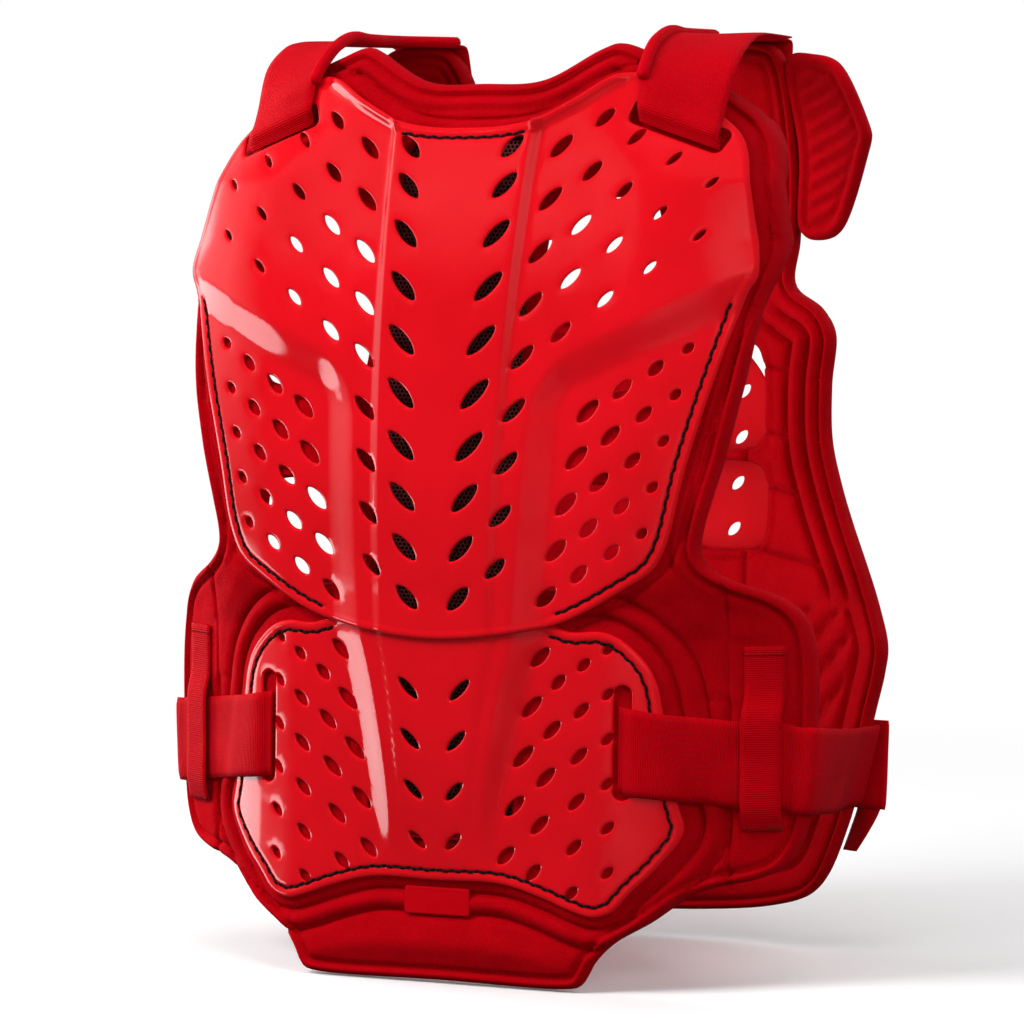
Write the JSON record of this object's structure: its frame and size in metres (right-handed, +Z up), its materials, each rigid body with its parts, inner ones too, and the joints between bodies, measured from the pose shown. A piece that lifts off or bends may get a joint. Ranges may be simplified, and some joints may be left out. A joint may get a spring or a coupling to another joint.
{
  "type": "roost deflector",
  "caption": "Motocross chest and back protector: pierced glossy plates on padded cloth panels, joined by shoulder straps and elastic waist straps.",
  "frame": {"origin": "midway between the undersides of the two shoulder straps, at their crest, where the wearer's shoulders carry it", "axes": "+X to the viewer's right as seen from the front, -Y out of the chest, +Z up the body"},
  "size_m": [0.423, 0.274, 0.5521],
  "materials": {
    "gloss_red": "glossy injection-moulded plastic",
    "padded_cloth": "matt knitted cloth over foam padding, stitched into ribs and quilts",
    "red_webbing": "ribbed elastic webbing",
    "dark_net": "coarse black hexagonal net"
  },
  "bodies": {
    "root": {"chest_plate": "gloss_red", "belly_plate": "gloss_red", "front_panel": "padded_cloth", "front_net": "dark_net", "hem_label": "red_webbing", "back_panel": "padded_cloth", "back_plate": "gloss_red", "shoulder_wing_left": "padded_cloth", "shoulder_strap_left": "red_webbing", "waist_strap_left": "red_webbing", "keeper_left": "red_webbing", "hook_tab_left": "padded_cloth", "shoulder_wing_right": "padded_cloth", "shoulder_strap_right": "red_webbing", "waist_strap_right": "red_webbing", "keeper_right": "red_webbing", "hook_tab_right": "padded_cloth"}
  },
  "joints": []
}
